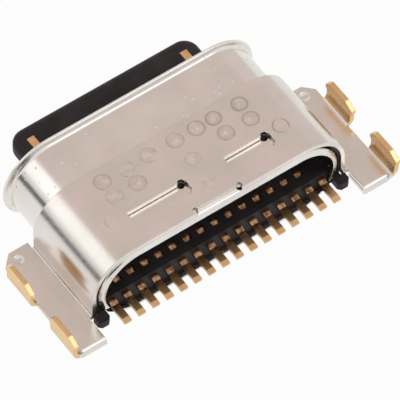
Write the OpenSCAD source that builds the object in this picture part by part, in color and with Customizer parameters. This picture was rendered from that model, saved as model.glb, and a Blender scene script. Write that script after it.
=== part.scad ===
// Charging port for a circuit board: a drawn shell, a welded bracket with solder legs,
// a moulded tongue in three shots and sixteen formed contacts.
// The mouth opens to +Y, the solder tails leave to -Y, the legs point up to +Z.
// The origin lies on the mating axis, in the flange's front face.

/* [Shell] */
// Clear width of the mouth
mouth_w = 8.36; // [8.2:0.02:8.5]
// Clear height of the mouth
mouth_h = 2.6; // [2.5:0.05:2.7]
// Sheet thickness of the drawn shell
shell_t = 0.11; // [0.09:0.01:0.14]
// Depth of the shell from the flange's front face to its rear edge
shell_len = 4.73; // [4.6:0.01:5]
// How far the flange stands out from the wall
flange_lip = 0.19; // [0.17:0.01:0.24]
// Radius in the corner between wall and flange
flange_fillet = 0.12; // [0.08:0.01:0.14]
// Inner radius of the inward turn at the rear edge
lip_r = 0.06; // [0.04:0.01:0.08]
// How far the rear edge turns in from the wall's inner face
lip_in = 0.1; // [0.09:0.01:0.12]

/* [Bracket] */
// Sheet thickness of the stamped bracket
bracket_t = 0.15; // [0.12:0.01:0.17]
// Length of the bracket's saddle along the shell
bracket_len = 3; // [2.8:0.02:3.2]
// How far the shell's rear edge stands behind the bracket's
shell_past = 0.04; // [0.01:0.01:0.06]
// Gap between the shell's round end and the bracket's side wall
side_gap = 0.09; // [0.07:0.01:0.14]
// Inner radius of the bracket's top corners
saddle_r = 1.28; // [1.2:0.02:1.32]
// Half width of the notch in the bracket's rear edge
notch_half_w = 0.79; // [0.6:0.01:0.95]
// Depth of the notch in the bracket's rear edge
notch_depth = 0.14; // [0.1:0.01:0.2]
// Radius of the relief holes at the notch's ends
notch_relief_r = 0.09; // [0.05:0.01:0.1]

/* [Wings] */
// Drop of the wings' seating face below the mating axis
wing_drop = 0.6; // [0.55:0.01:0.65]
// Width of a wing from the fold to its outer edge
wing_w = 1; // [0.9:0.02:1.1]
// Length of a wing behind the bracket's rear edge
wing_back = 0.92; // [0.8:0.02:1]
// Length of a wing ahead of the bracket's front edge
wing_ahead = 0.23; // [0.15:0.01:0.4]
// Inner radius of the fold between side wall and wing
fold_r = 0.05; // [0.03:0.01:0.1]
// Inset of the wing's rear end from the fold
wing_inset = 0.06; // [0.02:0.01:0.1]
// Gap between the two layers of the wing's folded rear end
hem_gap = 0.04; // [0.02:0.01:0.06]
// Clearance of the folded layer behind the bracket's rear edge
hem_clear = 0.05; // [0.02:0.01:0.2]
// Bevel on the wing's front outer corner, across and along
wing_bevel = 0.32; // [0.2:0.02:0.5]
// Diameter of the spot dimple near the wing's front edge
dimple_d = 0.35; // [0.25:0.05:0.4]
// Distance of the dimple's middle from the wing's outer edge
dimple_in = 0.43; // [0.35:0.01:0.6]
// Depth of the spot dimple
dimple_depth = 0.05; // [0.03:0.01:0.08]

/* [Solder legs] */
// Width of a leg's neck along the wing
leg_w = 1.18; // [1.1:0.02:1.3]
// Clear distance between the two legs of a wing
leg_gap = 1.05; // [0.8:0.01:1.1]
// Height of a leg above the wing's seating face
leg_rise = 0.78; // [0.7:0.02:1]
// Distance of a leg's bend inside the wing's outer edge
leg_edge = 0.11; // [0.08:0.01:0.14]
// Inner radius of the bend into a leg
leg_r = 0.2; // [0.14:0.01:0.22]
// Overhang of a leg's head past its neck
leg_barb = 0.06; // [0.03:0.01:0.08]
// Bevel on a leg's front top corner, and height of the rear one
leg_bevel = 0.18; // [0.1:0.02:0.22]
// Length of the bevel on a leg's rear top corner
leg_rear_bevel = 0.34; // [0.2:0.02:0.4]

/* [Locking lances] */
// Distance of the lances' slits from the bracket's rear edge
slit_back = 1.18; // [1.1:0.01:1.25]
// Width of a slit
slit_w = 0.01; // [0.01:0.01:0.04]
// Length of the pressed area behind a slit
lance_run = 0.5; // [0.4:0.02:0.54]
// Plan radius of the pressed area's corners
lance_corner_r = 0.22; // [0.14:0.01:0.3]
// Depth of the pressed area
lance_depth = 0.18; // [0.17:0.01:0.24]
// Angle of the pressed area's walls
press_deg = 70; // [60:1:80]
// Middle of the longer lance across the port
long_lance_x = -1.44; // [-1.5:0.01:-1.3]
// Length of the longer lance
long_lance_w = 2.08; // [1.8:0.02:2.1]
// Middle of the shorter lance across the port
short_lance_x = 1.76; // [1.5:0.01:1.8]
// Length of the shorter lance
short_lance_w = 1.62; // [1.4:0.02:1.7]
// Diameter of the round relief hole at a slit's end
relief_d = 0.22; // [0.18:0.02:0.26]
// Distance of the relief hole's middle from the slit's end
relief_in = 0.16; // [0.14:0.01:0.2]

/* [Weld marks] */
// Diameter of a laser weld's shallow crater
weld_d = 0.56; // [0.4:0.02:0.6]
// Depth of the crater
weld_depth = 0.012; // [0.008:0.001:0.02]
// Distance of the front row of welds from the bracket's front edge
weld_front_in = 0.5; // [0.45:0.01:0.55]
// Distance between the two rows of welds
weld_row_gap = 0.63; // [0.6:0.01:0.7]

/* [Tongue] */
// Thickness of the tongue
tongue_t = 0.7; // [0.66:0.02:0.76]
// How far the tongue stands out of the flange
tongue_out = 1.54; // [1.2:0.02:1.7]
// Plan radius of the tongue's front corners
tongue_corner_r = 0.5; // [0.3:0.05:0.6]
// Edge radius round the tongue's nose and flanks
tongue_edge_r = 0.24; // [0.1:0.02:0.3]
// Length of the moulded nose in front of the contact carriers
nose_len = 0.4; // [0.35:0.01:0.44]
// Plastic of the carriers beside the outermost pads
pad_cover = 0.17; // [0.1:0.01:0.2]
// Width of the moulded rim beside the contact carriers
rim_w = 0.25; // [0.2:0.01:0.3]
// How far the thick root stands out beside the tongue
root_step = 0.2; // [0.15:0.01:0.3]
// Height of the tongue's thick root
root_h = 1.1; // [1:0.02:1.2]
// Length of the tongue's thick root
root_len = 0.95; // [0.8:0.05:1.2]
// Radius along the root's long edges
root_edge_r = 0.15; // [0.1:0.01:0.2]
// Thickness of the moulded wall across the shell
wall_t = 0.6; // [0.55:0.01:0.7]
// Gap between the lances' cut edges and the moulded wall
lance_clear = 0.02; // [0.01:0.01:0.04]
// Gap between the mouldings and the shell's round ends
end_clear = 0.02; // [0.01:0.01:0.04]

/* [Steel plates] */
// Thickness of the plate between the contact rows
mid_t = 0.15; // [0.1:0.01:0.18]
// Depth of that plate's seat in the wall
mid_seat = 0.2; // [0.1:0.01:0.24]
// Distance of that plate's front edge from the tongue's tip
mid_front_in = 0.59; // [0.5:0.01:0.8]
// Bevel on that plate's front corners
mid_bevel = 0.3; // [0.1:0.02:0.4]
// Sheet thickness of the two ground plates on the root
ground_t = 0.08; // [0.06:0.01:0.1]
// Inset of the ground plates' ends from the root's sides
ground_in = 0.4; // [0.2:0.02:0.6]
// Gap between a ground plate's lip and the tongue's face
ground_gap = 0.05; // [0.03:0.01:0.1]

/* [Tail comb] */
// Gap between the comb's rear face and the shell's inward turn
comb_clear = 0.02; // [0.01:0.01:0.04]
// Height of the comb above the strips
comb_cover = 0.04; // [0.02:0.01:0.08]
// Height of the cross-bar above the comb
bar_rise = 0.05; // [0.03:0.01:0.1]
// Width of the cross-bar
bar_w = 0.18; // [0.14:0.01:0.24]
// Distance of the windows over the tails from the cross-bar
window_in = 0.15; // [0.12:0.01:0.2]
// Length of a window
window_len = 0.26; // [0.2:0.01:0.3]
// Gap between a tail and its window's sides
window_clear = 0.01; // [0.01:0.005:0.04]
// Plastic left around the outermost tails in the wall
tail_cover = 0.02; // [0.01:0.01:0.03]
// Drop of the side ears' top below the mating axis
ear_drop = 0.62; // [0.58:0.01:0.68]
// Height of the side ears
ear_h = 0.28; // [0.22:0.01:0.34]
// How far the ears reach behind the bracket's rear edge
ear_back = 0.35; // [0.28:0.01:0.45]
// Width of an ear's prong
ear_w = 0.28; // [0.24:0.01:0.32]
// How far an ear's head hooks behind the bracket's side wall
ear_hook = 0.14; // [0.1:0.01:0.16]
// Depth of an ear's arm along the shell
ear_arm = 0.24; // [0.2:0.01:0.3]
// Bevel on an ear's head
ear_bevel = 0.1; // [0.05:0.01:0.12]
// Gap between an ear and the sheets it passes
ear_clear = 0.02; // [0.01:0.01:0.03]
// Height of the ear's rail above the mating axis, between shell and bracket
rail_rise = 0.9; // [0.6:0.02:1]
// Setback of that rail from the bracket's rear edge
rail_setback = 0.05; // [0.02:0.01:0.1]

/* [Contacts] */
// Pitch of the contacts
pitch = 0.5; // [0.48:0.01:0.5]
// Width of a contact strip
contact_w = 0.24; // [0.2:0.01:0.28]
// Sheet thickness of the contacts
contact_t = 0.11; // [0.1:0.01:0.13]
// Bend radius of the strips, to the middle of the sheet
bend_r = 0.1; // [0.09:0.005:0.11]
// Distance of the ground pads' front ends from the tongue's tip
ground_pad_in = 0.48; // [0.45:0.01:0.6]
// Distance of the power pads' front ends from the tongue's tip
power_pad_in = 0.95; // [0.8:0.01:1.1]
// Distance of the signal pads' front ends from the tongue's tip
signal_pad_in = 1.15; // [0.95:0.01:1.4]
// Length over which a strip fans out from pad to tail
fan_len = 0.65; // [0.6:0.01:0.8]
// Depth of a riser inside the wall's rear face
riser_in = 0.03; // [0.02:0.01:0.05]
// How far a riser leans forward over its height
riser_lean = 0.08; // [0.06:0.01:0.1]
// Straight run between a riser's bend and the fan
riser_run = 0.02; // [0.01:0.01:0.05]
// Drop of the tails' upper face below the mating axis, where they leave the comb
tail_drop = 0.54; // [0.52:0.01:0.56]
// Height of the step in each strip under its window
jog_rise = 0.1; // [0.08:0.01:0.12]
// Length of that step
jog_len = 0.16; // [0.14:0.01:0.18]
// Distance from the comb's rear face to the bend down to the foot
knee_back = 0.05; // [0.04:0.01:0.08]
// Length of the slope down to the foot
slope_len = 0.14; // [0.12:0.01:0.2]
// Length of a foot's bent tip
tip_len = 0.15; // [0.1:0.01:0.2]
// Drop of the tip below the foot
tip_drop = 0.03; // [0.02:0.01:0.04]
// How far the tails reach behind the bracket's rear edge
tail_out = 0.72; // [0.7:0.02:0.9]

/* [Hidden] */
$fn = 64;
// Contact columns in pitches from the middle: pads, then the tails of both rows
PAD_COLUMNS = [-5.5, -2.5, -1.5, -0.5, 0.5, 1.5, 2.5, 5.5];
UPPER_TAILS = [-7.5, -5.5, -2.5, -0.5, 0.5, 2.5, 5.5, 7.5];
LOWER_TAILS = [-6.5, -4.5, -3.5, -1.5, 1.5, 3.5, 4.5, 6.5];
LAST = len(PAD_COLUMNS) - 1;
END_COLUMN = UPPER_TAILS[LAST];
UPPER_NAMES = [
    "contact_a1_ground", "contact_a4_power", "contact_a5_channel", "contact_a6_data",
    "contact_a7_data", "contact_a8_sideband", "contact_a9_power", "contact_a12_ground"
];
LOWER_NAMES = [
    "contact_b12_ground", "contact_b9_power", "contact_b8_sideband", "contact_b7_data",
    "contact_b6_data", "contact_b5_channel", "contact_b4_power", "contact_b1_ground"
];
// Weld marks across the port: front row, second row, and the loners further back as [x, distance in]
FRONT_WELDS = [-2.42, -1.59, -0.77, 0.16, 0.92, 1.54, 2.47];
SECOND_WELDS = [-2.43, -1.6, 1.54, 2.43];
LONE_WELDS = [[0.22, 1.34], [0.14, 2.13]];
// Overlap of cutting bodies past the faces they cut, and of folds into the sheets they join
past = 0.1;
// Steps in a strip's bend
bend_steps = 5;
// Colours of the materials
NICKEL = [0.79, 0.75, 0.71];
STEEL = [0.72, 0.72, 0.73];
GOLD = [0.85, 0.66, 0.38];
BLACK = [0.12, 0.11, 0.11];

// Shell
mouth_r = mouth_h / 2;
shell_r = mouth_r + shell_t;
core = mouth_w / 2 - mouth_r;
shell_rear = -shell_len;
rim_r = shell_t / 2;
lip_out = lip_r + shell_t;

// Bracket
bracket_rear = shell_rear + shell_past;
bracket_front = bracket_rear + bracket_len;
saddle_x = core + shell_r + side_gap;
saddle_top = shell_r + bracket_t;
wing_top = -wing_drop;
fold_x = saddle_x + bracket_t + fold_r;
fold_z = wing_top + fold_r;
wing_out = fold_x + wing_w;
wing_rear = bracket_rear - wing_back;
wing_front = bracket_front + wing_ahead;
wing_in = fold_x + wing_inset;
hem_r = bracket_t + hem_gap / 2;
hem_y = wing_rear + hem_r;

// Legs
leg_x = wing_out - leg_edge;
leg_bend_z = wing_top + leg_r;
leg_top = wing_top + leg_rise;
leg_neck = (leg_top - leg_bend_z - leg_bevel) / 2;
leg_starts = [wing_rear, wing_rear + leg_w + leg_gap];

// Lances as [middle, length]; a sheet's faces keep the walls' angle by this widening for each depth
mitre = tan(press_deg / 2);
press_run = lance_depth / tan(press_deg);
slit_y = bracket_rear + slit_back;
lances = [[long_lance_x, long_lance_w], [short_lance_x, short_lance_w]];

// Mouldings
wall_rear = slit_y + lance_clear;
wall_front = wall_rear + wall_t;
root_front = wall_front + root_len;
slab_half_w = PAD_COLUMNS[LAST] * pitch + contact_w / 2 + pad_cover;
tongue_w = 2 * (slab_half_w + rim_w);
root_w = tongue_w + 2 * root_step;
ground_half_w = root_w / 2 - ground_in;
slab_front = tongue_out - nose_len;
block_half_w = END_COLUMN * pitch + contact_w / 2 + tail_cover;
comb_rear = shell_rear + lip_out + comb_clear;
comb_top = jog_rise + comb_cover - tail_drop;
bar_top = comb_top + bar_rise;
window_rear = comb_rear + bar_w + window_in;
ear_top = -ear_drop;
ear_bottom = ear_top - ear_h;
ear_out = saddle_x - ear_clear;
ear_in = ear_out - ear_w;
ear_front = comb_rear + ear_arm;

// Contacts: heights are those of the middle of the sheet
pad_z = (tongue_t - contact_t) / 2;
tail_z = -tail_drop - contact_t / 2;
foot_z = wing_top - contact_t / 2;
strip_z = tail_z + jog_rise;
riser_y = wall_rear + riser_in + contact_t / 2;
riser_top_y = riser_y + riser_lean;
fan_rear = riser_top_y + bend_r + riser_run;
fan_front = fan_rear + fan_len;
jog_front = window_rear + (window_len + jog_len) / 2;
jog_rear = jog_front - jog_len;
knee_y = comb_rear - knee_back;
heel_y = knee_y - slope_len;
tail_tip = bracket_rear - tail_out;

// Which piece to draw

// Box between two corners
module box(from, to) {
    translate(from) cube(to - from);
}

// A drawing in X and Z, drawn out along Y between two stations
module along_y(from, to) {
    translate([0, to, 0]) rotate([90, 0, 0]) linear_extrude(to - from) children();
}

// A drawing in Y and Z, drawn out along X between two stations
module along_x(from, to) {
    translate([from, 0, 0]) rotate([90, 0, 90]) linear_extrude(to - from) children();
}

// Left and right copies
module both_sides() {
    children();
    mirror([1, 0, 0]) children();
}

// Full-round slot shape
module stadium(half_len, r) {
    square([2 * half_len, 2 * r], center = true);
    translate([half_len, 0]) circle(r);
    translate([-half_len, 0]) circle(r);
}

// Rectangle with four round corners
module round_box(w, h, r) {
    square([w - 2 * r, h], center = true);
    square([w, h - 2 * r], center = true);
    for (x = [r - w / 2, w / 2 - r], z = [r - h / 2, h / 2 - r]) {
        translate([x, z]) circle(r);
    }
}

// Arch with two round top corners, standing on the fold line
module arch(half_w, top, r) {
    intersection() {
        translate([-half_w, fold_z]) square([2 * half_w, top - fold_z]);
        union() {
            translate([-half_w, fold_z]) square([2 * half_w, top - r - fold_z]);
            translate([r - half_w, fold_z]) square([2 * (half_w - r), top - fold_z]);
            for (x = [r - half_w, half_w - r]) {
                translate([x, top - r]) circle(r);
            }
        }
    }
}

// Sheet section through the shell's turned rear edge, wall and flange:
// X outward from the end's axis, Y along the port
module shell_section() {
    inner_r = flange_fillet + shell_t;
    difference() {
        union() {
            translate([mouth_r, shell_rear + lip_out]) square([shell_t, shell_len - lip_out]);
            translate([mouth_r - lip_r, shell_rear + lip_out]) intersection() {
                difference() {
                    circle(lip_out);
                    circle(lip_r);
                }
                translate([0, -lip_out]) square(lip_out);
            }
            translate([mouth_r - lip_in, shell_rear]) square([lip_in - lip_r, shell_t]);
            translate([mouth_r, -shell_t]) square([shell_t + flange_lip - rim_r, shell_t]);
            translate([shell_r + flange_lip - rim_r, -rim_r]) circle(rim_r);
            difference() {
                translate([shell_r, -inner_r]) square(flange_fillet);
                translate([shell_r + flange_fillet, -inner_r]) circle(flange_fillet);
            }
        }
        difference() {
            translate([mouth_r - past, -inner_r]) square([inner_r + past, inner_r + past]);
            translate([mouth_r + inner_r, -inner_r]) circle(inner_r);
        }
    }
}

// The section led round the full-round opening
module drawn_tube() {
    both_sides() translate([core, 0, 0]) rotate([-90, 0, 0]) rotate([0, 0, -90])
        rotate_extrude(angle = 180) shell_section();
    for (turn = [-90, 90]) {
        rotate([0, turn, 0]) linear_extrude(2 * core, center = true) shell_section();
    }
}

// Half section of a pressed area that starts some depth below the bracket's top face,
// X outward from its corner's axis
module press_section(below, top) {
    rim = lance_corner_r + below * mitre;
    polygon([
        [0, top],
        [rim, top],
        [rim, saddle_top - below],
        [rim - press_run, saddle_top - below - lance_depth],
        [0, saddle_top - below - lance_depth]
    ]);
}

// Room of a lance's pressed area behind its slit, for a sheet some depth below the bracket's
// top face, open up to a given height
module pressed(lance, below, top) {
    half_run = lance[1] / 2 - lance_corner_r;
    side = lance_run - lance_corner_r;
    intersection() {
        translate([lance[0], slit_y, 0]) {
            both_sides() translate([half_run, 0, 0]) {
                translate([0, -side, 0]) rotate_extrude() press_section(below, top);
                rotate([90, 0, 0]) linear_extrude(side) press_section(below, top);
            }
            translate([0, -side, 0]) rotate([90, 0, -90])
                linear_extrude(2 * half_run, center = true) press_section(below, top);
            box([-half_run, -side, saddle_top - below - lance_depth], [half_run, 0, top]);
        }
        box(
            [lance[0] - lance[1], slit_y - 2 * lance_run, 0],
            [lance[0] + lance[1], slit_y - slit_w, top]
        );
    }
}

// A flat-topped sheet that lies some depth below the bracket's top face, with both lances
// pressed down and cut free at their slits
module lanced(below, t) {
    top = saddle_top - below;
    difference() {
        union() {
            difference() {
                children();
                for (lance = lances) {
                    pressed(lance, below, top + past);
                }
            }
            for (lance = lances) {
                difference() {
                    pressed(lance, below + t, top);
                    pressed(lance, below, top + past);
                }
            }
        }
        for (lance = lances) {
            right = lance[0] + lance[1] / 2;
            box([right - lance[1], slit_y - slit_w, 0], [right, slit_y, top + past]);
            translate([right - relief_in, slit_y, 0]) cylinder(d = relief_d, h = top + past);
        }
    }
}

// Relief holes at the ends of the bracket's rear notch, pierced through both sheets
module notch_reliefs() {
    from = mouth_r - lip_r;
    both_sides() translate([notch_half_w, bracket_rear + notch_depth, from])
        cylinder(r = notch_relief_r, h = saddle_top + past - from);
}

// Drawn shell with its flange, lances, relief holes and the notches for the side ears
module inner_shell() {
    color(NICKEL) difference() {
        lanced(bracket_t, shell_t) drawn_tube();
        notch_reliefs();
        both_sides() box(
            [core, shell_rear - past, ear_bottom - ear_clear],
            [core + shell_r + past, ear_front + ear_clear, ear_top + ear_clear]
        );
    }
}

// Sheet bent round a corner of a given inner radius, one quarter turn in X and Z
module quarter_bend(r) {
    intersection() {
        difference() {
            circle(r + bracket_t);
            circle(r);
        }
        translate([0, -r - bracket_t]) square(r + bracket_t);
    }
}

// One wing with its fold, flat from the fold line to the outer edge, its rear end folded under
module wing() {
    along_y(bracket_rear, bracket_front) translate([fold_x, fold_z]) mirror([1, 0]) {
        quarter_bend(fold_r);
        translate([fold_r, 0]) square([bracket_t, past]);
        translate([-past, -fold_r - bracket_t]) square([past, bracket_t]);
    }
    translate([0, 0, wing_top - bracket_t]) linear_extrude(bracket_t) difference() {
        polygon([
            [wing_in, hem_y],
            [wing_out, hem_y],
            [wing_out, wing_front - wing_bevel],
            [wing_out - wing_bevel, wing_front],
            [fold_x, wing_front],
            [fold_x, bracket_rear],
            [wing_in, bracket_rear]
        ]);
        for (y = leg_starts) {
            translate([leg_x, y]) square([leg_edge + past, leg_w]);
        }
    }
    along_x(wing_in, leg_x) translate([hem_y, wing_top - hem_r]) {
        difference() {
            circle(hem_r);
            circle(hem_gap / 2);
            translate([0, -hem_r - past]) square(2 * (hem_r + past));
        }
        translate([0, -hem_r]) square([bracket_rear - hem_clear - hem_y, bracket_t]);
        translate([0, hem_r - bracket_t]) square([past, bracket_t]);
    }
}

// One solder leg: bend, neck and barbed head
module leg(start) {
    end = start + leg_w;
    along_y(start, end) translate([leg_x, leg_bend_z]) {
        quarter_bend(leg_r);
        translate([leg_r, 0]) square([bracket_t, past]);
    }
    along_x(leg_x + leg_r, leg_x + leg_r + bracket_t) polygon([
        [start, leg_bend_z],
        [start, leg_bend_z + leg_neck],
        [start - leg_barb, leg_bend_z + leg_neck + leg_barb],
        [start - leg_barb, leg_top - leg_bevel],
        [start - leg_barb + leg_rear_bevel, leg_top],
        [end + leg_barb - leg_bevel, leg_top],
        [end + leg_barb, leg_top - leg_bevel],
        [end + leg_barb, leg_bend_z + leg_neck + leg_barb],
        [end, leg_bend_z + leg_neck],
        [end, leg_bend_z]
    ]);
}

// Shallow round mark of a given width and depth, sunk into a face from above
module crater(x, y, z, d, depth) {
    r = (pow(d / 2, 2) + pow(depth, 2)) / (2 * depth);
    translate([x, y, z + r - depth]) sphere(r);
}

// Welded saddle with its wings and four solder legs
module mounting_bracket() {
    color(NICKEL) difference() {
        union() {
            lanced(0, bracket_t) along_y(bracket_rear, bracket_front) difference() {
                arch(saddle_x + bracket_t, saddle_top, saddle_r + bracket_t);
                arch(saddle_x, shell_r, saddle_r);
            }
            both_sides() wing();
            both_sides() for (y = leg_starts) {
                leg(y);
            }
        }
        box(
            [-notch_half_w, bracket_rear - past, 0],
            [notch_half_w, bracket_rear + notch_depth, saddle_top + past]
        );
        notch_reliefs();
        both_sides() crater(
            wing_out - dimple_in, wing_front - dimple_d, wing_top, dimple_d, dimple_depth
        );
        for (x = FRONT_WELDS) {
            crater(x, bracket_front - weld_front_in, saddle_top, weld_d, weld_depth);
        }
        for (x = SECOND_WELDS) {
            crater(x, bracket_front - weld_front_in - weld_row_gap, saddle_top, weld_d, weld_depth);
        }
        for (weld = LONE_WELDS) {
            crater(weld[0], bracket_front - weld[1], saddle_top, weld_d, weld_depth);
        }
    }
}

// Inside of the shell between two stations, touching its flats and clear of its round ends
module shell_fill(from, to) {
    along_y(from, to) stadium(core - end_clear, mouth_r);
}

// Section of the tongue's rim: X outward to the rounded edge, Y up
module tongue_edge(reach) {
    square([reach - tongue_edge_r, tongue_t / 2]);
    square([reach, tongue_t / 2 - tongue_edge_r]);
    translate([reach - tongue_edge_r, tongue_t / 2 - tongue_edge_r]) circle(tongue_edge_r);
}

// The same above and below the middle plane
module tongue_rim(reach) {
    intersection() {
        union() {
            tongue_edge(reach);
            mirror([0, 1]) tongue_edge(reach);
        }
        translate([0, -tongue_t]) square([reach, 2 * tongue_t]);
    }
}

// Outside of the tongue: its rounded edge led along both flanks, round the front corners
// and along the nose
module tongue_body() {
    tip_r = tongue_corner_r;
    corner_x = tongue_w / 2 - tip_r;
    corner_y = tongue_out - tip_r;
    both_sides() {
        along_y(wall_front, corner_y) tongue_rim(tongue_w / 2);
        translate([corner_x, corner_y, 0]) rotate_extrude() tongue_rim(tip_r);
    }
    along_x(-corner_x, corner_x) translate([corner_y, 0]) tongue_rim(tip_r);
}

// Last moulding shot: back wall, thick root, and the tongue's rim and nose
module tongue() {
    color(BLACK) difference() {
        union() {
            shell_fill(wall_rear, wall_front);
            along_y(wall_front, root_front) round_box(root_w, root_h, root_edge_r);
            tongue_body();
        }
        upper_carrier();
        lower_carrier();
        mid_plate();
        all_contacts();
    }
}

// Upper carrier before its contacts: slab in the tongue and block in the wall
module upper_carrier() {
    box([-slab_half_w, wall_front, mid_t / 2], [slab_half_w, slab_front, tongue_t / 2]);
    box([-block_half_w, wall_rear, mid_t / 2], [block_half_w, wall_front, tongue_t / 2 + tail_cover]);
}

// First moulding shot round the upper contacts
module upper_insulator() {
    color(BLACK) difference() {
        upper_carrier();
        all_contacts();
    }
}

// Side ear: arm through the shell's notch, a prong that hooks behind the bracket's side wall,
// and a rail up between shell and bracket
module ear() {
    head = bracket_rear - ear_back;
    along_y(bracket_rear + rail_setback, ear_front) intersection() {
        translate([core, ear_bottom]) square([ear_out - core, rail_rise - ear_bottom]);
        difference() {
            union() {
                arch(ear_out, shell_r - ear_clear, saddle_r - ear_clear);
                translate([core, ear_bottom]) square([ear_out - core, fold_z - ear_bottom]);
            }
            stadium(core, shell_r + ear_clear);
        }
    }
    translate([0, 0, ear_bottom]) linear_extrude(ear_h) polygon([
        [core, comb_rear],
        [core, ear_front],
        [ear_out, ear_front],
        [ear_out, bracket_rear - ear_clear],
        [ear_out + ear_hook, bracket_rear - ear_clear],
        [ear_out + ear_hook, head + ear_bevel],
        [ear_out + ear_hook - ear_bevel, head],
        [ear_in + ear_bevel, head],
        [ear_in, head + ear_bevel],
        [ear_in, comb_rear]
    ]);
}

// Lower carrier before its contacts: slab, block, tail comb with cross-bar, and ears
module lower_carrier() {
    box([-slab_half_w, wall_front, -tongue_t / 2], [slab_half_w, slab_front, -mid_t / 2]);
    box(
        [-block_half_w, wall_rear, tail_z - contact_t / 2 - tail_cover],
        [block_half_w, wall_front, -mid_t / 2]
    );
    intersection() {
        shell_fill(comb_rear, wall_rear);
        union() {
            box([-mouth_w, comb_rear, -mouth_h], [mouth_w, wall_rear, comb_top]);
            box([-mouth_w, comb_rear, comb_top - past], [mouth_w, comb_rear + bar_w, bar_top]);
        }
    }
    both_sides() ear();
}

// First moulding shot round the lower contacts, with a window over every tail but the two outermost
module lower_insulator() {
    color(BLACK) difference() {
        lower_carrier();
        all_contacts();
        for (column = [1 - END_COLUMN : END_COLUMN - 1]) {
            half_w = contact_w / 2 + window_clear;
            box(
                [column * pitch - half_w, window_rear, -tail_drop],
                [column * pitch + half_w, window_rear + window_len, bar_top]
            );
        }
    }
}

// Steel plate between the contact rows, its edges flush with the tongue's flanks
module mid_plate() {
    rear = wall_front - mid_seat;
    front = tongue_out - mid_front_in;
    half_w = tongue_w / 2;
    color(STEEL) translate([0, 0, -mid_t / 2]) linear_extrude(mid_t) polygon([
        [-half_w, rear],
        [half_w, rear],
        [half_w, front - mid_bevel],
        [half_w - mid_bevel, front],
        [mid_bevel - half_w, front],
        [-half_w, front - mid_bevel]
    ]);
}

// Ground plate on the root's upper face, with a lip down its front
module upper_ground_plate() {
    color(STEEL) along_x(-ground_half_w, ground_half_w) polygon([
        [wall_front, root_h / 2],
        [root_front, root_h / 2],
        [root_front, tongue_t / 2 + ground_gap],
        [root_front + ground_t, tongue_t / 2 + ground_gap],
        [root_front + ground_t, root_h / 2],
        [root_front, root_h / 2 + ground_t],
        [wall_front, root_h / 2 + ground_t]
    ]);
}

// The same plate under the root
module lower_ground_plate() {
    mirror([0, 0, 1]) upper_ground_plate();
}

// Left-hand normal of a line from one point to another
function left(from, to) = [from[1] - to[1], to[0] - from[0]] / norm(to - from);

// Points on one side of a rounded corner, offset from the middle line to the left
function corner(from, at, to, off) =
    let (
        n = left(from, at),
        d = (at - from) / norm(at - from),
        e = (to - at) / norm(to - at),
        turn = sign(cross(d, e)),
        angle = acos(d * e),
        start = at - d * bend_r * tan(angle / 2),
        centre = start + turn * bend_r * n,
        spoke = -turn * (bend_r - turn * off) * n
    )
    [
        for (k = [0 : bend_steps])
            let (a = turn * angle * k / bend_steps)
            centre + [spoke[0] * cos(a) - spoke[1] * sin(a), spoke[0] * sin(a) + spoke[1] * cos(a)]
    ];

// One side of a bent strip
function strip_side(path, off) =
    let (last = len(path) - 1)
    concat(
        [path[0] + off * left(path[0], path[1])],
        [for (k = [1 : last - 1]) each corner(path[k - 1], path[k], path[k + 1], off)],
        [path[last] + off * left(path[last - 1], path[last])]
    );

// Points in the opposite order
function reversed(points) = [for (k = [len(points) - 1 : -1 : 0]) points[k]];

// Formed contact: pad, fan to its tail's column, riser, stepped strip, tail and solder foot
module contact(pad_column, tail_column, z, pad_in) {
    pad_x = pad_column * pitch;
    tail_x = tail_column * pitch;
    half_w = contact_w / 2;
    path = [
        [fan_rear, z],
        [riser_top_y, z],
        [riser_y, strip_z],
        [jog_front, strip_z],
        [jog_rear, tail_z],
        [knee_y, tail_z],
        [heel_y, foot_z],
        [tail_tip + tip_len, foot_z],
        [tail_tip, foot_z - tip_drop]
    ];
    color(GOLD) {
        translate([0, 0, z - contact_t / 2]) linear_extrude(contact_t) polygon([
            [pad_x - half_w, tongue_out - pad_in],
            [pad_x + half_w, tongue_out - pad_in],
            [pad_x + half_w, fan_front],
            [tail_x + half_w, fan_rear],
            [tail_x - half_w, fan_rear],
            [pad_x - half_w, fan_front]
        ]);
        along_x(tail_x - half_w, tail_x + half_w)
            polygon(concat(strip_side(path, contact_t / 2), reversed(strip_side(path, -contact_t / 2))));
    }
}

// How far a pad's front end lies behind the tongue's tip: ground pads lead, signal pads trail
function pad_in(k) =
    (k == 0 || k == LAST) ? ground_pad_in : (k == 1 || k == LAST - 1) ? power_pad_in : signal_pad_in;

// Contact of the upper row
module upper_contact(k) {
    contact(PAD_COLUMNS[k], UPPER_TAILS[k], pad_z, pad_in(k));
}

// Contact of the lower row
module lower_contact(k) {
    contact(PAD_COLUMNS[k], LOWER_TAILS[k], -pad_z, pad_in(k));
}

// Both rows together, as the mouldings are shaped round them
module all_contacts() {
    for (k = [0 : LAST]) {
        upper_contact(k);
        lower_contact(k);
    }
}

inner_shell();
mounting_bracket();
tongue();
upper_insulator();
lower_insulator();
mid_plate();
upper_ground_plate();
lower_ground_plate();
for (k = [0 : LAST]) {
    upper_contact(k);
    lower_contact(k);
}
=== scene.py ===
"""Looks of the charging port: plated sheet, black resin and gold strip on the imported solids.

The mouth opens to +Y, the solder tails leave to -Y and the legs point up to +Z.
All lengths below are in millimetres and become metres through MM.
"""

import logging
import math
from dataclasses import dataclass
from enum import Enum
from typing import Any, NamedTuple, Optional, Sequence

import bpy
from mathutils import Matrix, Quaternion, Vector


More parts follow.
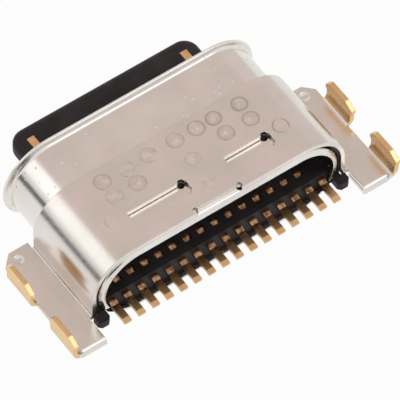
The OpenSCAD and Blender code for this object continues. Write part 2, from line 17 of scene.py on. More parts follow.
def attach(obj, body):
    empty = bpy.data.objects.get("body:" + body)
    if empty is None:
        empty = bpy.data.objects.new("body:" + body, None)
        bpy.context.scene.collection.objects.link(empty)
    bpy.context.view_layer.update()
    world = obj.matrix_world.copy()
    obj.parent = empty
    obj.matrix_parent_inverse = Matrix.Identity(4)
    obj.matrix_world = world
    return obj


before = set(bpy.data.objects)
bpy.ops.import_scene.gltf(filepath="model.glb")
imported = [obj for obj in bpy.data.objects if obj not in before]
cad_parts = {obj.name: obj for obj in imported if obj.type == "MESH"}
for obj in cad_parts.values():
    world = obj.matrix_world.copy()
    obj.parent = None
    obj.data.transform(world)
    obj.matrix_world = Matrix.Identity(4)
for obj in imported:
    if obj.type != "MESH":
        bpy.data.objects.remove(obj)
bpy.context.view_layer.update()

MM = 0.001
LOG = logging.getLogger("charging_port")

# Sockets of a Mix node that mixes colours, and of Random Value nodes
MIX_SHARE, MIX_FIRST, MIX_SECOND, MIX_COLOUR = 0, 6, 7, 2
VECTOR_LOW, VECTOR_HIGH = 0, 1
FLOAT_LOW, FLOAT_HIGH, FLOAT_DRAWN = 2, 3, 1

# Octaves of the slow mottling and of the fine grain
MOTTLE_DETAIL, GRIT_DETAIL = 3.0, 2.0
# Range of the mottling's noise over which one colour turns into the other
PATCH_RANGE = (0.36, 0.64)
# Range of the same noise over which handling dents come in
DENTED_RANGE = (0.43, 0.56)
# Radius and depth of a dent as shares of the dents' spacing
DENT_RADIUS, DENT_DEPTH = 0.16, 0.08
# Rays that find how far an edge is rounded
EDGE_SAMPLES = 4

Direction = tuple[float, float, float]
Section = tuple[tuple[float, float], ...]
Weld = tuple[float, float, float]


class Ray(Enum):
    """Light Path outputs that see the plain white surroundings."""

    CAMERA = "Is Camera Ray"
    GLOSSY = "Is Glossy Ray"
    THROUGH = "Is Transmission Ray"


class Axis(Enum):
    """Direction along which a plating bath's edge is measured."""

    ACROSS = "X"
    ALONG = "Y"


class Grain(Enum):
    """Direction in which a sheet was drawn or rolled, as stretch of the grain pattern."""

    ALONG_PORT = (1.0, 0.08, 1.0)
    ACROSS_PORT = (0.08, 1.0, 1.0)
    NONE = (1.0, 1.0, 1.0)


def linear(code: str) -> tuple[float, float, float, float]:
    """Turn an sRGB hex code into linear colour.

    Args:
        code: Six hex digits.

    Returns:
        Linear red, green, blue and an alpha of one.
    """
    parts = [int(code[k : k + 2], 16) / 255 for k in (0, 2, 4)]
    low = [c / 12.92 if c <= 0.04045 else ((c + 0.055) / 1.055) ** 2.4 for c in parts]
    return (low[0], low[1], low[2], 1.0)


def add(
    tree: bpy.types.NodeTree, kind: str, links: Optional[dict] = None, **settings: Any
) -> bpy.types.Node:
    """Add a node with its settings, values and links.

    Args:
        tree: Node tree that gets the node.
        kind: Node type.
        links: Input name or number to a value, or to the socket that feeds it.
        settings: Node properties to set.

    Returns:
        The new node.
    """
    node = tree.nodes.new(kind)
    for name, value in settings.items():
        setattr(node, name, value)
    for name, value in (links or {}).items():
        if isinstance(value, bpy.types.NodeSocket):
            tree.links.new(value, node.inputs[name])
        else:
            node.inputs[name].default_value = value
    return node


class Coat(NamedTuple):
    """A made material and what a layer over it needs.

    Attributes:
        material: The material.
        where: Its coordinates.
        colour: Its colour before any layer.
    """

    material: bpy.types.Material
    where: bpy.types.Node
    colour: bpy.types.NodeSocket

    def cover(self, share: bpy.types.NodeSocket, over: Any) -> None:
        """Mix a layer's colour over the material's own.

        Args:
            share: How much of the layer shows.
            over: The layer's colour, or the socket that gives it.
        """
        tree = self.material.node_tree
        mixed = add(
            tree,
            "ShaderNodeMix",
            {MIX_SHARE: share, MIX_FIRST: self.colour, MIX_SECOND: over},
            data_type="RGBA",
        )
        shader = tree.nodes["Principled BSDF"]
        tree.links.new(mixed.outputs[MIX_COLOUR], shader.inputs["Base Color"])


@dataclass(frozen=True)
class Finish:
    """A finish of one base material.

    Attributes:
        name: Common name of the material and how its surface was made.
        tint: Main colour as sRGB hex.
        shade: Second colour of the slow mottling as sRGB hex.
        metallic: One for bare metal, nought for resin.
        rough: Lowest and highest roughness.
        mottle: Size of the slow mottling in mm.
        grit: Size of the fine grain in mm.
        grain: Direction of the fine grain.
        relief: Depth of the grain's bump in mm.
        gloss: Specular level, for resin.
        edge: Radius of the tumbled edges in mm, nought for sharp ones.
        dents: Spacing of small handling dents in mm, nought for none.
    """

    name: str
    tint: str
    shade: str
    metallic: float
    rough: tuple[float, float]
    mottle: float
    grit: float
    grain: Grain
    relief: float
    gloss: float = 0.5
    edge: float = 0.0
    dents: float = 0.0

    def base(self) -> Coat:
        """Make the material with its mottled colour, grain and bump.

        Returns:
            The material, ready for a layer over it.
        """
        made = bpy.data.materials.new(self.name)
        made.use_nodes = True
        tree = made.node_tree
        shader = tree.nodes["Principled BSDF"]
        where = add(tree, "ShaderNodeTexCoord")
        place = where.outputs["Object"]
        slow = add(
            tree,
            "ShaderNodeTexNoise",
            {"Vector": place, "Scale": 1 / (self.mottle * MM), "Detail": MOTTLE_DETAIL},
        )
        patches = add(
            tree,
            "ShaderNodeMapRange",
            {"Value": slow.outputs[0], "From Min": PATCH_RANGE[0], "From Max": PATCH_RANGE[1]},
        )
        colour = add(
            tree,
            "ShaderNodeMix",
            {
                MIX_SHARE: patches.outputs[0],
                MIX_FIRST: linear(self.tint),
                MIX_SECOND: linear(self.shade),
            },
            data_type="RGBA",
        )
        turned = add(tree, "ShaderNodeMapping", {"Vector": place, "Scale": self.grain.value})
        fine = add(
            tree,
            "ShaderNodeTexNoise",
            {"Vector": turned.outputs[0], "Scale": 1 / (self.grit * MM), "Detail": GRIT_DETAIL},
        )
        rough = add(
            tree,
            "ShaderNodeMapRange",
            {"Value": fine.outputs[0], "To Min": self.rough[0], "To Max": self.rough[1]},
        )
        bump = add(
            tree,
            "ShaderNodeBump",
            {"Height": fine.outputs[0], "Distance": self.relief * MM, "Strength": 1.0},
        )
        under = bump
        if self.dents:
            under = self.dent_bump(tree, place, slow.outputs[0])
            tree.links.new(under.outputs[0], bump.inputs["Normal"])
        if self.edge:
            eased = add(
                tree, "ShaderNodeBevel", {"Radius": self.edge * MM}, samples=EDGE_SAMPLES
            )
            tree.links.new(eased.outputs[0], under.inputs["Normal"])
        shader.inputs["Metallic"].default_value = self.metallic
        shader.inputs["Specular IOR Level"].default_value = self.gloss
        tree.links.new(colour.outputs[MIX_COLOUR], shader.inputs["Base Color"])
        tree.links.new(rough.outputs[0], shader.inputs["Roughness"])
        tree.links.new(bump.outputs[0], shader.inputs["Normal"])
        return Coat(made, where, colour.outputs[MIX_COLOUR])

    def dent_bump(
        self, tree: bpy.types.NodeTree, place: bpy.types.NodeSocket, slow: bpy.types.NodeSocket
    ) -> bpy.types.Node:
        """Press small round dents into the surface, in patches.

        Args:
            tree: Tree of the material.
            place: Its coordinates.
            slow: Noise that tells where the dents come.

        Returns:
            The bump of the dents.
        """
        cells = add(
            tree, "ShaderNodeTexVoronoi", {"Vector": place, "Scale": 1 / (self.dents * MM)}
        )
        pit = add(
            tree,
            "ShaderNodeMapRange",
            {"Value": cells.outputs["Distance"], "From Min": 0.0, "From Max": DENT_RADIUS},
            interpolation_type="SMOOTHSTEP",
        )
        sparse = add(
            tree,
            "ShaderNodeMapRange",
            {"Value": slow, "From Min": DENTED_RANGE[0], "From Max": DENTED_RANGE[1]},
        )
        return add(
            tree,
            "ShaderNodeBump",
            {
                "Height": pit.outputs[0],
                "Distance": DENT_DEPTH * self.dents * MM,
                "Strength": sparse.outputs[0],
            },
        )


# Stainless sheet under a satin nickel plate: pale grey, soft broad reflections, faint drawing lines
SHELL_NICKEL = Finish(
    name="stainless sheet, drawn and nickel plated",
    tint="E8E4DF",
    shade="DFDAD5",
    metallic=1.0,
    rough=(0.15, 0.24),
    mottle=1.6,
    grit=0.09,
    grain=Grain.ALONG_PORT,
    relief=0.0006,
    edge=0.03,
    dents=0.24,
)
# The same plate on rolled and stamped sheet: a little greyer, grain across the port
BRACKET_NICKEL = Finish(
    name="stainless sheet, stamped and nickel plated",
    tint="E4DCD8",
    shade="DAD6CE",
    metallic=1.0,
    rough=(0.18, 0.28),
    mottle=1.4,
    grit=0.08,
    grain=Grain.ACROSS_PORT,
    relief=0.0006,
    edge=0.04,
)
# Nickel plate melted by the laser: a little rougher than the sheet round it, without its grain
WELD_POOL = Finish(
    name="nickel plate, laser welded",
    tint="E6DED9",
    shade="D8D0C9",
    metallic=1.0,
    rough=(0.2, 0.32),
    mottle=0.2,
    grit=0.05,
    grain=Grain.NONE,
    relief=0.0006,
)
# Glass-filled liquid-crystal polymer as moulded: near black, dull, with a fine fibre grain
RESIN = Finish(
    name="liquid-crystal polymer, moulded",
    tint="393335",
    shade="2C2829",
    metallic=0.0,
    rough=(0.42, 0.6),
    mottle=0.7,
    grit=0.06,
    grain=Grain.NONE,
    relief=0.002,
    gloss=0.15,
)
# Cold-rolled stainless plate, bright and neutral
STEEL = Finish(
    name="stainless plate, rolled",
    tint="C8C8CA",
    shade="B9B9BC",
    metallic=1.0,
    rough=(0.25, 0.4),
    mottle=1.0,
    grit=0.08,
    grain=Grain.ALONG_PORT,
    relief=0.0005,
)
# Copper alloy strip as stamped: red-brown, mottled with dark brown; where no gold covers it, in the
# comb's windows and on the tails near the comb, that dark tone is painted shade of those recesses
COPPER_STRIP_AND_SHADE = Finish(
    name="copper alloy strip, stamped",
    tint="B28A66",
    shade="5E402E",
    metallic=1.0,
    rough=(0.3, 0.48),
    mottle=0.14,
    grit=0.05,
    grain=Grain.ALONG_PORT,
    relief=0.0008,
)


@dataclass(frozen=True)
class GoldDip:
    """Gold on the ends of a piece, from a selective plating bath.

    Attributes:
        axis: Direction along which the bath's edge is measured.
        about: Place on that axis from which both ends are counted, in mm.
        start: Distance from there in mm where the gold begins.
        full: Distance in mm where it covers.
        tint: Colour of the thick gold as sRGB hex.
        shade: Colour of the thin gold as sRGB hex.
        wave: Size in mm of the waves in the gold's edge and tone.
        sway: How far in mm those waves move the edge.
    """

    axis: Axis
    about: float
    start: float
    full: float
    tint: str
    shade: str
    wave: float = 0.5
    sway: float = 0.1

    def lay_over(self, coat: Coat) -> None:
        """Blend the gold over a material's colour towards both ends of the piece.

        Args:
            coat: Material to change.
        """
        tree = coat.material.node_tree
        place = coat.where.outputs["Object"]
        split = add(tree, "ShaderNodeSeparateXYZ", {0: place})
        from_middle = add(
            tree,
            "ShaderNodeMath",
            {0: split.outputs[self.axis.value], 1: self.about * MM},
            operation="SUBTRACT",
        )
        off = add(tree, "ShaderNodeMath", {0: from_middle.outputs[0]}, operation="ABSOLUTE")
        wander = add(
            tree, "ShaderNodeTexNoise", {"Vector": place, "Scale": 1 / (self.wave * MM)}
        )
        edge = add(
            tree,
            "ShaderNodeMath",
            {0: wander.outputs[0], 1: self.sway * MM, 2: off.outputs[0]},
            operation="MULTIPLY_ADD",
        )
        reach = add(
            tree,
            "ShaderNodeMapRange",
            {"Value": edge.outputs[0], "From Min": self.start * MM, "From Max": self.full * MM},
            interpolation_type="SMOOTHSTEP",
        )
        gold = add(
            tree,
            "ShaderNodeMix",
            {
                MIX_SHARE: wander.outputs[0],
                MIX_FIRST: linear(self.tint),
                MIX_SECOND: linear(self.shade),
            },
            data_type="RGBA",
        )
        coat.cover(reach.outputs[0], gold.outputs[MIX_COLOUR])


@dataclass(frozen=True)
class RimShade:
    """Darker ring painted on the rim of each weld mark, as painted shade of the groove round it.

    Attributes:
        share: Name of the mesh attribute that tells how much painted shade a point of a mark gets.
        force: Name of the mesh attribute that tells how strong its shot was.
        tint: Colour of the painted shade as sRGB hex.
    """

    share: str
    force: str
    tint: str

    def lay_over(self, coat: Coat) -> None:
        """Blend the painted shade's tint over a material's colour.

        Args:
            coat: Material to change.
        """
        tree = coat.material.node_tree
        shade_share = add(tree, "ShaderNodeAttribute", attribute_name=self.share)
        shot = add(tree, "ShaderNodeAttribute", attribute_name=self.force)
        amount = add(
            tree,
            "ShaderNodeMath",
            {0: shade_share.outputs["Fac"], 1: shot.outputs["Fac"]},
            operation="MULTIPLY",
        )
        coat.cover(amount.outputs[0], linear(self.tint))


def dress(names: Sequence[str], made: bpy.types.Material) -> None:
    """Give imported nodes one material.

    Args:
        names: Node names.
        made: Material for all their faces.
    """
    for name in names:
        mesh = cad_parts[name].data
        mesh.materials.clear()
        mesh.materials.append(made)
        LOG.info("%s: %s", name, made.name)


@dataclass
class Shell:
    """Drawn shell with its flange.

    Attributes:
        finish: Plate on the sheet.
    """

    finish: Finish = SHELL_NICKEL

    def build(self) -> None:
        """Dress the shell."""
        dress(["inner_shell"], self.finish.base().material)


@dataclass
class Bracket:
    """Stamped bracket with its wings, gold legs and laser welds.

    Attributes:
        finish: Plate on the sheet.
        dip: Gold on the legs.
        pool: Metal of the welds.
        rim_shade: Painted shade on the rim round each of them, standing in for the shade of its
            groove.
        top: Height of the saddle's top face.
        front: Station of the saddle's front edge.
        mark_r: Outer radius of a weld's mark.
        mark_facets: Facets of a mark round and from its edge to its middle, on both sides.
        rim_high: Height of its rim above its foot.
        foot: Depth of that foot in the sheet.
        rim_section: Height of a mark as a share of rim_high, from its edge (0) to its middle (1).
        rim_shade_section: Share of that painted shade in the same way.
        bead_r: Radius of the bead where the laser stopped.
        bead_facets: Facets of the bead round and from pole to pole.
        bead_off: Distance of the bead from the mark's middle.
        bead_flat: Height of the bead as a share of a ball's.
        lean: How far a mark leans either way, in radians.
        turn: How far a mark is turned at most, in radians.
        lean_seed: Seed for lean and turn.
        spread: Smallest and largest size of a mark as shares of the one given.
        spread_seed: Seed for that size.
        welds: Welds as x, distance behind the front edge and force of the shot.
        welds_sunk: How much lower the mark of a shot without force would lie.
        weak_welds: Weak shots near the saddle's sides, in the same way.
        weak_sunk: How much lower those lie.
    """

    finish: Finish = BRACKET_NICKEL
    dip: GoldDip = GoldDip(Axis.ACROSS, 0.0, 5.62, 5.67, "EBCB9C", "DBAF72")
    pool: Finish = WELD_POOL
    # Darker tint painted on each weld's rim, standing in for the shade in the groove round it
    rim_shade: RimShade = RimShade("rim_shade", "force", "B0A59B")
    top: float = 1.56
    front: float = -1.69
    mark_r: float = 0.275
    mark_facets: tuple[int, int] = (40, 32)
    rim_high: float = 0.016
    foot: float = 0.004
    rim_section: Section = ((0.0, 0.0), (0.3, 0.95), (0.5, 0.85), (0.8, 0.4), (1.0, 0.34))
    # Painted rim shade across a mark, darkest near its edge and none at its middle
    rim_shade_section: Section = ((0.0, 0.3), (0.2, 0.75), (0.5, 0.7), (0.74, 0.2), (1.0, 0.0))
    bead_r: float = 0.03
    bead_facets: tuple[int, int] = (12, 8)
    bead_off: float = 0.03
    bead_flat: float = 0.6
    lean: float = 0.035
    turn: float = 6.28
    lean_seed: int = 7
    spread: tuple[float, float] = (0.94, 1.06)
    spread_seed: int = 3
    welds: tuple[Weld, ...] = (
        (-2.42, 0.5, 0.7),
        (-1.59, 0.5, 0.3),
        (-0.77, 0.5, 0.5),
        (0.16, 0.5, 0.6),
        (0.92, 0.5, 0.85),
        (1.54, 0.5, 1.0),
        (2.47, 0.5, 1.0),
        (-2.43, 1.13, 0.4),
        (-1.6, 1.13, 0.6),
        (1.54, 1.13, 0.75),
        (2.43, 1.13, 0.85),
        (0.22, 1.34, 0.35),
        (0.14, 2.13, 0.15),
    )
    welds_sunk: float = 0.008
    weak_welds: tuple[Weld, ...] = ((-2.96, 1.83, 0.3), (3.0, 1.83, 1.0))
    weak_sunk: float = 0.0105

    def build(self) -> None:
        """Dress the bracket and lay the weld marks on it."""
        plate = self.finish.base()
        self.dip.lay_over(plate)
        dress(["mounting_bracket"], plate.material)
        melted = self.pool.base()
        # Paint shade on the rims of the weld marks
        self.rim_shade.lay_over(melted)
        marks = self.weld_marks(melted.material)
        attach(marks, "root")
        LOG.info("%s: %d welds", marks.name, len(self.welds) + len(self.weak_welds))

    def weld_spots(self) -> bpy.types.Mesh:
        """Mark the middle of each weld.

        Returns:
            A mesh of one point for each weld, with the force of its shot.
        """
        spots = bpy.data.meshes.new("weld_spots")
        seats = [(x, y, self.top - self.welds_sunk * (1 - force)) for x, y, force in self.welds]
        seats += [(x, y, self.top - self.weak_sunk) for x, y, _ in self.weak_welds]
        spots.from_pydata([(x * MM, (self.front - y) * MM, z * MM) for x, y, z in seats], [], [])
        shots = spots.attributes.new(self.rim_shade.force, "FLOAT", "POINT")
        shots.data.foreach_set("value", [force for _, _, force in self.welds + self.weak_welds])
        return spots

    def dish(self, tree: bpy.types.NodeTree, given: bpy.types.Node) -> bpy.types.NodeSocket:
        """Press a ball to a mark's section, with its lower half flat.

        Args:
            tree: Node tree of the marks.
            given: Its inputs.

        Returns:
            The dish with its rim, and the painted shade on each of its points.
        """
        ball = add(
            tree,
            "GeometryNodeMeshUVSphere",
            {
                "Segments": self.mark_facets[0],
                "Rings": self.mark_facets[1],
                "Radius": given.outputs["Mark radius"],
            },
        )
        position = add(tree, "GeometryNodeInputPosition")
        place = add(tree, "ShaderNodeSeparateXYZ", {0: position.outputs[0]})
        inward = add(
            tree,
            "ShaderNodeMath",
            {0: place.outputs["Z"], 1: given.outputs["Mark radius"]},
            operation="DIVIDE",
        )
        shares = []
        for section in (self.rim_section, self.rim_shade_section):
            share = add(tree, "ShaderNodeFloatCurve", {"Value": inward.outputs[0]})
            points = share.mapping.curves[0].points
            points[0].location, points[1].location = section[0], section[-1]
            for x, y in section[1:-1]:
                points.new(x, y)
            share.mapping.update()
            shares.append(share.outputs[0])
        height = add(
            tree,
            "ShaderNodeMath",
            {0: shares[0], 1: given.outputs["Rim height"], 2: given.outputs["Foot"]},
            operation="MULTIPLY_ADD",
        )
        pressed = add(
            tree,
            "ShaderNodeCombineXYZ",
            {"X": place.outputs["X"], "Y": place.outputs["Y"], "Z": height.outputs[0]},
        )
        # Store on each point how much painted rim shade it gets
        shade_share = add(
            tree,
            "GeometryNodeStoreNamedAttribute",
            {"Geometry": ball.outputs[0], "Name": self.rim_shade.share, "Value": shares[1]},
            data_type="FLOAT",
            domain="POINT",
        )
        dish = add(
            tree,
            "GeometryNodeSetPosition",
            {"Geometry": shade_share.outputs[0], "Position": pressed.outputs[0]},
        )
        return dish.outputs[0]

    def bead(self, tree: bpy.types.NodeTree, given: bpy.types.Node) -> bpy.types.NodeSocket:
        """Set a low drop off the mark's middle.

        Args:
            tree: Node tree of the marks.
            given: Its inputs.

        Returns:
            The bead.
        """
        drop = add(
            tree,
            "GeometryNodeMeshUVSphere",
            {
                "Segments": self.bead_facets[0],
                "Rings": self.bead_facets[1],
                "Radius": given.outputs["Bead radius"],
            },
        )
        low_drop = add(
            tree,
            "GeometryNodeTransform",
            {
                "Geometry": drop.outputs[0],
                "Translation": (self.bead_off * MM, 0.0, 0.0),
                "Scale": (1.0, 1.0, self.bead_flat),
            },
        )
        return low_drop.outputs[0]

    def weld_marks(self, melted: bpy.types.Material) -> bpy.types.Object:
        """Set a shallow dish with a raised rim and a bead on each weld through a node tree.

        Args:
            melted: Material of the marks.

        Returns:
            One mesh object that holds all marks.
        """
        marks = bpy.data.objects.new("weld_marks", self.weld_spots())
        bpy.context.scene.collection.objects.link(marks)
        tree = bpy.data.node_groups.new("mark on each weld", "GeometryNodeTree")
        face = tree.interface
        face.new_socket("Geometry", in_out="INPUT", socket_type="NodeSocketGeometry")
        sizes = {
            "Mark radius": self.mark_r * MM,
            "Rim height": self.rim_high * MM,
            "Foot": -self.foot * MM,
            "Bead radius": self.bead_r * MM,
        }
        keys = {
            name: face.new_socket(name, in_out="INPUT", socket_type="NodeSocketFloat").identifier
            for name in sizes
        }
        face.new_socket("Geometry", in_out="OUTPUT", socket_type="NodeSocketGeometry")
        given = add(tree, "NodeGroupInput")
        both = add(tree, "GeometryNodeJoinGeometry")
        tree.links.new(self.dish(tree, given), both.inputs[0])
        tree.links.new(self.bead(tree, given), both.inputs[0])
        smooth = add(tree, "GeometryNodeSetShadeSmooth", {"Geometry": both.outputs[0]})

        # Each weld is turned, leaned and sized a little differently
        lean = add(
            tree,
            "FunctionNodeRandomValue",
            {
                VECTOR_LOW: (-self.lean, -self.lean, 0.0),
                VECTOR_HIGH: (self.lean, self.lean, self.turn),
                "Seed": self.lean_seed,
            },
            data_type="FLOAT_VECTOR",
        )
        spread = add(
            tree,
            "FunctionNodeRandomValue",
            {
                FLOAT_LOW: self.spread[0],
                FLOAT_HIGH: self.spread[1],
                "Seed": self.spread_seed,
            },
            data_type="FLOAT",
        )
        placed = add(
            tree,
            "GeometryNodeInstanceOnPoints",
            {
                "Points": given.outputs[0],
                "Instance": smooth.outputs[0],
                "Rotation": lean.outputs[0],
                "Scale": spread.outputs[FLOAT_DRAWN],
            },
        )
        real = add(tree, "GeometryNodeRealizeInstances", {0: placed.outputs[0]})
        dressed = add(
            tree, "GeometryNodeSetMaterial", {"Geometry": real.outputs[0], "Material": melted}
        )
        add(tree, "NodeGroupOutput", {0: dressed.outputs[0]})
        modifier = marks.modifiers.new("marks", "NODES")
        modifier.node_group = tree
        for name, size in sizes.items():
            modifier[keys[name]] = size
        seen = marks.evaluated_get(bpy.context.evaluated_depsgraph_get())
        marks.data = bpy.data.meshes.new_from_object(seen)
        marks.modifiers.clear()
        return marks


@dataclass
class Mouldings:
    """Tongue, contact carriers and tail comb.

    Attributes:
        finish: Resin of all three shots.
    """

    finish: Finish = RESIN

    def build(self) -> None:
        """Dress the three moulding shots."""
        dress(["tongue", "upper_insulator", "lower_insulator"], self.finish.base().material)


@dataclass
class Plates:
    """Plate between the contact rows and the two ground plates.

    Attributes:
        finish: Sheet that they are stamped from.
    """

    finish: Finish = STEEL

    def build(self) -> None:
        """Dress the plates."""
        names = ["mid_plate", "upper_ground_plate", "lower_ground_plate"]
        dress(names, self.finish.base().material)


@dataclass
class Contacts:
    """Both rows of formed contacts.

    Attributes:
        finish: Strip that they are stamped from, whose dark tone is painted shade inside the comb
            and near it.
        dip: Gold on their pads and feet, fading in slowly so that the feet darken towards the comb.
    """

    # The strip's dark tone, left bare of gold inside the comb and near it, is painted shade there
    finish: Finish = COPPER_STRIP_AND_SHADE
    dip: GoldDip = GoldDip(Axis.ALONG, -3.9, 0.85, 1.45, "EAC898", "C9925A")

    def build(self) -> None:
        """Dress the contacts."""
        strip = self.finish.base()
        self.dip.lay_over(strip)
        names = sorted(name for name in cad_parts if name.startswith("contact_"))
        dress(names, strip.material)


@dataclass(frozen=True)
class Softbox:
    """One soft white studio lamp, aimed at the port.

    Attributes:
        name: What it lights.
        towards: Direction from the port to the lamp.
        away: Distance in mm.
        size: Width and height in mm.
        power: Watts.
    """

    name: str
    towards: Direction
    away: float
    size: tuple[float, float]
    power: float

    def hang(self, aim: Vector) -> None:
        """Hang the lamp.

        Args:
            aim: Point it faces.
        """
        lamp = bpy.data.lights.new(self.name, "AREA")
        lamp.shape = "RECTANGLE"
        lamp.size, lamp.size_y = (s * MM for s in self.size)
        lamp.energy = self.power
        holder = bpy.data.objects.new(self.name, lamp)
        bpy.context.scene.collection.objects.link(holder)
        back = Vector(self.towards).normalized()
        holder.location = aim + back * self.away * MM
        holder.rotation_mode = "QUATERNION"
        holder.rotation_quaternion = back.to_track_quat("Z", "Y")


@dataclass(frozen=True)
class Card:
    """Evenly lit card that stands out of the picture and shows only in the metal.

    Attributes:
        name: What it tones.
        towards: Direction from the port to the card.
        away: Distance in mm.
        size: Width and height in mm.
        tint: Tone that the metal mirrors, as sRGB hex.
    """

    name: str
    towards: Direction
    away: float
    size: tuple[float, float]
    tint: str

    def stand(self, aim: Vector) -> None:
        """Stand the card up, facing the port.

        Args:
            aim: Point it faces.
        """
        back = Vector(self.towards).normalized()
        middle = aim + back * self.away * MM
        side = (Vector((1.0, 0.0, 0.0)) - back * back.x).normalized() * self.size[0] / 2 * MM
        rise = back.cross(side).normalized() * self.size[1] / 2 * MM
        low, high = middle - rise, middle + rise
        corners = [low - side, low + side, high + side, high - side]
        mesh = bpy.data.meshes.new(self.name)
        mesh.from_pydata([tuple(c) for c in corners], [], [(0, 1, 2, 3)])
        made = bpy.data.materials.new(self.name + ", lit card")
        made.use_nodes = True
        tree = made.node_tree
        glow = add(tree, "ShaderNodeEmission", {"Color": linear(self.tint), "Strength": 1.0})
        tree.links.new(glow.outputs[0], tree.nodes["Material Output"].inputs["Surface"])
        mesh.materials.append(made)
        card = bpy.data.objects.new(self.name, mesh)
        card.visible_camera = False
        bpy.context.scene.collection.objects.link(card)


def plain_white(tree: bpy.types.NodeTree, to_eye: float, in_metal: float) -> bpy.types.NodeSocket:
    """Tell how much plain white a ray sees.

    Args:
        tree: Tree of the world or of a material.
        to_eye: Share for the camera's own rays.
        in_metal: Share for rays that were mirrored or passed through something clear.

    Returns:
        The share for the ray, nought for rays that only light the port.
    """
    path = add(tree, "ShaderNodeLightPath")
    mirrored = add(
        tree,
        "ShaderNodeMath",
        {0: path.outputs[Ray.GLOSSY.value], 1: path.outputs[Ray.THROUGH.value]},
        operation="MAXIMUM",
    )
    indirect = add(
        tree, "ShaderNodeMath", {0: mirrored.outputs[0], 1: in_metal}, operation="MULTIPLY"
    )
    share = add(
        tree,
        "ShaderNodeMath",
        {0: path.outputs[Ray.CAMERA.value], 1: to_eye, 2: indirect.outputs[0]},
        operation="MULTIPLY_ADD",
    )
    return share.outputs[0]


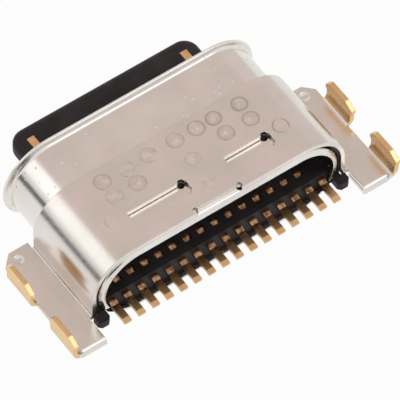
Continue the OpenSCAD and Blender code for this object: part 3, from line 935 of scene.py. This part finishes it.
@dataclass
class Studio:
    """Pale floor, soft lamps, toning cards and the camera.

    Attributes:
        aim: Point on the port that the camera's fit is about.
        azimuth: Camera's turn from straight behind, in degrees.
        elevation: Camera's height above the horizon, in degrees.
        roll: Camera's roll in degrees.
        away: Camera's distance in mm.
        pixels_per_mm: Image scale at the aim.
        picture: Width of the image in pixels.
        sensor: Width of the camera's sensor in mm.
        reach: Nearest and furthest distance that the camera sees, in mm.
        off_centre: Place of the image's middle, right and up of the aim, in mm.
        surround: Tone of the light all round, as sRGB hex.
        surround_level: Strength of that light.
        backdrop_level: Strength of the plain white that the eye and the metal see instead.
        floor_z: Height of the floor.
        floor_half: Half the floor's width.
        floor_tone: Colour of the floor's card as sRGB hex.
        floor_rough: Roughness of that card.
        floor_lift: Share of plain white that the eye sees on the floor, the rest is its card.
        floor_sheen: The same share in the metal.
        lamps: Soft lamps.
        cards: Cards that tone the metal.
    """

    aim: Direction = (0.0, -1.69, 0.0)
    azimuth: float = -35.322
    elevation: float = 54.346
    roll: float = 0.224
    away: float = 200.0
    pixels_per_mm: float = 34.042
    picture: int = 400
    sensor: float = 36.0
    reach: tuple[float, float] = (1.0, 5000.0)
    off_centre: tuple[float, float] = (1.167, -1.087)
    surround: str = "F6F4F2"
    surround_level: float = 0.7
    backdrop_level: float = 0.95
    floor_z: float = -1.6
    floor_half: float = 400.0
    floor_tone: str = "E8E6E6"
    floor_rough: float = 0.9
    floor_lift: float = 0.96
    floor_sheen: float = 0.96
    lamps: tuple[Softbox, ...] = (
        Softbox("left box", (-0.63, 0.476, 0.61), 150.0, (90.0, 74.0), 0.0085),
        Softbox("right rear box", (0.337, -0.476, 0.813), 200.0, (90.0, 60.0), 0.021),
    )
    cards: tuple[Card, ...] = (
        Card("ceiling over the front", (0.26, 0.5, 0.83), 160.0, (250.0, 120.0), "E0D2CC"),
        Card("right wall", (0.815, 0.476, 0.33), 160.0, (84.0, 120.0), "E4DAD6"),
        Card("left horizon", (-0.87, 0.476, 0.1), 150.0, (90.0, 30.0), "2A2829"),
        Card("left rear horizon", (-0.58, -0.78, 0.24), 150.0, (120.0, 72.0), "3C332E"),
    )

    def build(self) -> None:
        """Set up the whole studio."""
        self.surroundings()
        self.floor()
        for lamp in self.lamps:
            lamp.hang(Vector(self.aim) * MM)
        for card in self.cards:
            card.stand(Vector(self.aim) * MM)
        self.camera()
        bpy.context.scene.view_settings.view_transform = "Standard"

    def surroundings(self) -> None:
        """Make a soft even surround that is plain white to the eye."""
        world = bpy.data.worlds.new("studio surround")
        bpy.context.scene.world = world
        world.use_nodes = True
        tree = world.node_tree
        tree.nodes.clear()
        light = add(
            tree,
            "ShaderNodeBackground",
            {"Color": linear(self.surround), "Strength": self.surround_level},
        )
        white = add(
            tree,
            "ShaderNodeBackground",
            {"Color": linear("FFFFFF"), "Strength": self.backdrop_level},
        )
        share = plain_white(tree, 1.0, 1.0)
        mixed = add(
            tree, "ShaderNodeMixShader", {0: share, 1: light.outputs[0], 2: white.outputs[0]}
        )
        add(tree, "ShaderNodeOutputWorld", {0: mixed.outputs[0]})

    def floor(self) -> None:
        """Lay the pale floor, which keeps the port's shadow."""
        half = self.floor_half * MM
        z = self.floor_z * MM
        corners = [(-half, -half, z), (half, -half, z), (half, half, z), (-half, half, z)]
        mesh = bpy.data.meshes.new("floor")
        mesh.from_pydata(corners, [], [(0, 1, 2, 3)])
        floor = bpy.data.objects.new("floor", mesh)
        bpy.context.scene.collection.objects.link(floor)
        made = bpy.data.materials.new("white card, matt")
        made.use_nodes = True
        tree = made.node_tree
        card = tree.nodes["Principled BSDF"]
        card.inputs["Base Color"].default_value = linear(self.floor_tone)
        card.inputs["Roughness"].default_value = self.floor_rough
        card.inputs["Specular IOR Level"].default_value = 0.0
        white = add(tree, "ShaderNodeEmission", {"Color": linear("FFFFFF"), "Strength": 1.0})
        share = plain_white(tree, self.floor_lift, self.floor_sheen)
        seen = add(
            tree, "ShaderNodeMixShader", {0: share, 1: card.outputs[0], 2: white.outputs[0]}
        )
        tree.links.new(seen.outputs[0], tree.nodes["Material Output"].inputs["Surface"])
        mesh.materials.append(made)

    def camera(self) -> None:
        """Stand the camera where the photograph was taken from."""
        az, el = math.radians(self.azimuth), math.radians(self.elevation)
        level = math.cos(el)
        back = Vector((math.sin(az) * level, -math.cos(az) * level, math.sin(el)))
        right = Vector((math.cos(az), math.sin(az), 0.0))
        up = back.cross(right)
        aim = Vector(self.aim) * MM
        place = aim + back * self.away * MM
        centre = aim + (right * self.off_centre[0] + up * self.off_centre[1]) * MM
        upright = Matrix((right, up, back)).transposed().to_quaternion()
        swing = back.rotation_difference((place - centre).normalized())
        rolled = Quaternion((0, 0, 1), math.radians(self.roll))
        lens = bpy.data.cameras.new("camera")
        lens.sensor_width = self.sensor
        lens.lens = self.pixels_per_mm * self.away * self.sensor / self.picture
        lens.clip_start, lens.clip_end = (distance * MM for distance in self.reach)
        holder = bpy.data.objects.new("camera", lens)
        bpy.context.scene.collection.objects.link(holder)
        holder.rotation_mode = "QUATERNION"
        holder.rotation_quaternion = swing @ upright @ rolled
        holder.location = place
        bpy.context.scene.camera = holder


def main() -> None:
    """Dress the port piece by piece, then set up the studio."""
    logging.basicConfig(level=logging.INFO, format="%(message)s")
    for piece in (Shell(), Bracket(), Mouldings(), Plates(), Contacts()):
        piece.build()
    Studio().build()


if __name__ == "__main__":
    main()
